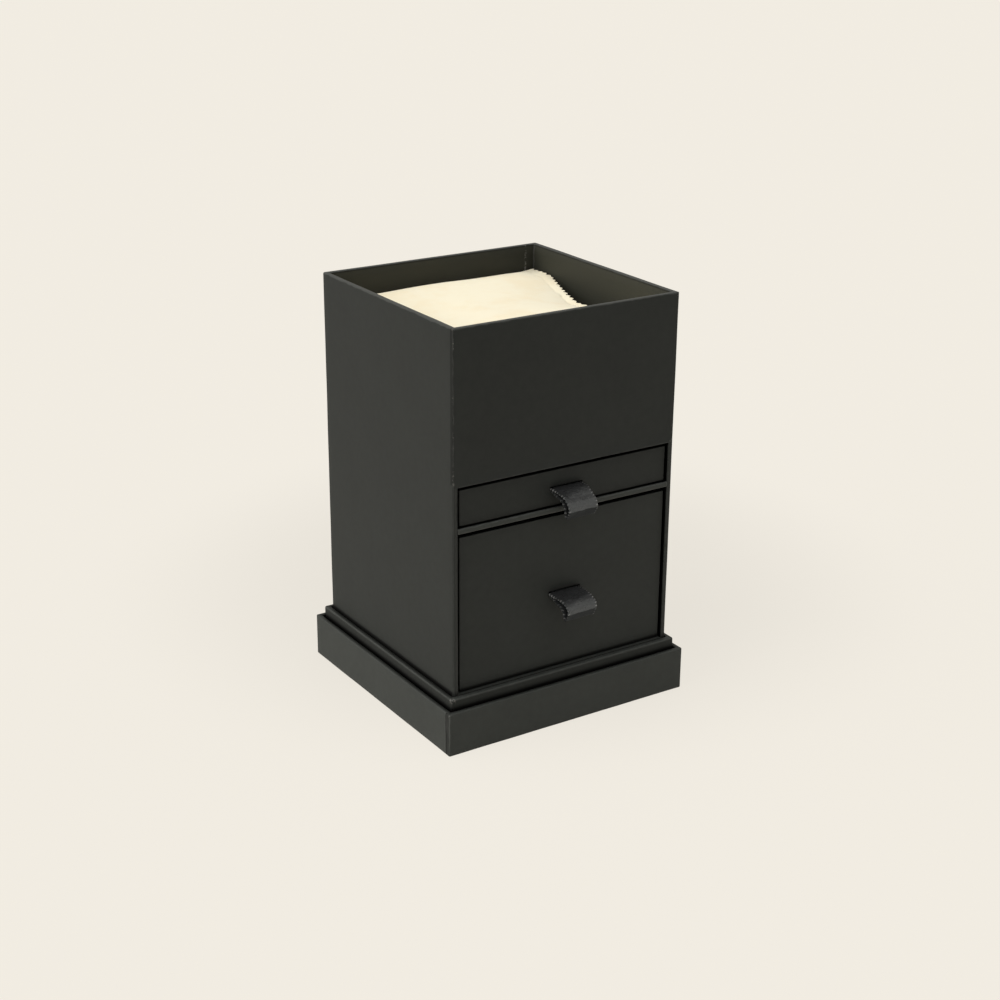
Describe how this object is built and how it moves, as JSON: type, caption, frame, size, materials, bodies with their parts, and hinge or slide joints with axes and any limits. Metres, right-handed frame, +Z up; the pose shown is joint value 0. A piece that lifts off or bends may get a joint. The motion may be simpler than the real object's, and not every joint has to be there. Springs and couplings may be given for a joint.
{
  "type": "tower box with drawers",
  "caption": "Tall black paper-covered board box on a stepped base, with an open cushioned compartment above a slim drawer and a deep drawer with ribbon pulls.",
  "frame": {"origin": "middle of the tower's footprint, on the surface that the box stands on", "axes": "+Z up, +X to the right of someone who faces the drawers, drawers open towards -Y"},
  "size_m": [0.0826, 0.085, 0.1237],
  "materials": {
    "black_paper": "matte",
    "lining_paper": "matte",
    "covered_board": "matte",
    "black_board": "matte",
    "ribbon": "satin",
    "foam": "matte",
    "wadding": "matte",
    "suede_cloth": "matte"
  },
  "bodies": {
    "case": {"base_sheet": "black_paper", "tray_bottom": "black_board", "tray_front": "black_board", "tray_back": "black_board", "tray_left": "black_board", "tray_right": "black_board", "tray_wrap": "black_paper", "neck_front": "black_board", "neck_back": "black_board", "neck_left": "black_board", "neck_right": "black_board", "neck_wrap": "black_paper", "tower_left": "black_board", "tower_right": "black_board", "tower_back": "black_board", "front_panel": "black_board", "front_sill": "black_board", "bay_floor": "covered_board", "drawer_shelf": "covered_board", "compartment_floor": "covered_board", "tower_wrap": "black_paper", "compartment_lining": "lining_paper", "foam_riser": "foam", "cushion_filling": "wadding", "cushion_cover": "suede_cloth"},
    "upper_drawer": {"upper_drawer_front": "black_board", "upper_drawer_left": "black_board", "upper_drawer_right": "black_board", "upper_drawer_back": "black_board", "upper_drawer_bottom": "black_board", "upper_drawer_wrap": "black_paper", "upper_drawer_pull": "ribbon"},
    "lower_drawer": {"lower_drawer_front": "black_board", "lower_drawer_left": "black_board", "lower_drawer_right": "black_board", "lower_drawer_back": "black_board", "lower_drawer_bottom": "black_board", "lower_drawer_wrap": "black_paper", "lower_drawer_pull": "ribbon"}
  },
  "joints": [
    {"name": "upper_drawer_slide", "type": "slide", "parent": "case", "child": "upper_drawer", "axis": [0, -1, 0], "range_m": [0, 0.06]},
    {"name": "lower_drawer_slide", "type": "slide", "parent": "case", "child": "lower_drawer", "axis": [0, -1, 0], "range_m": [0, 0.06]}
  ]
}
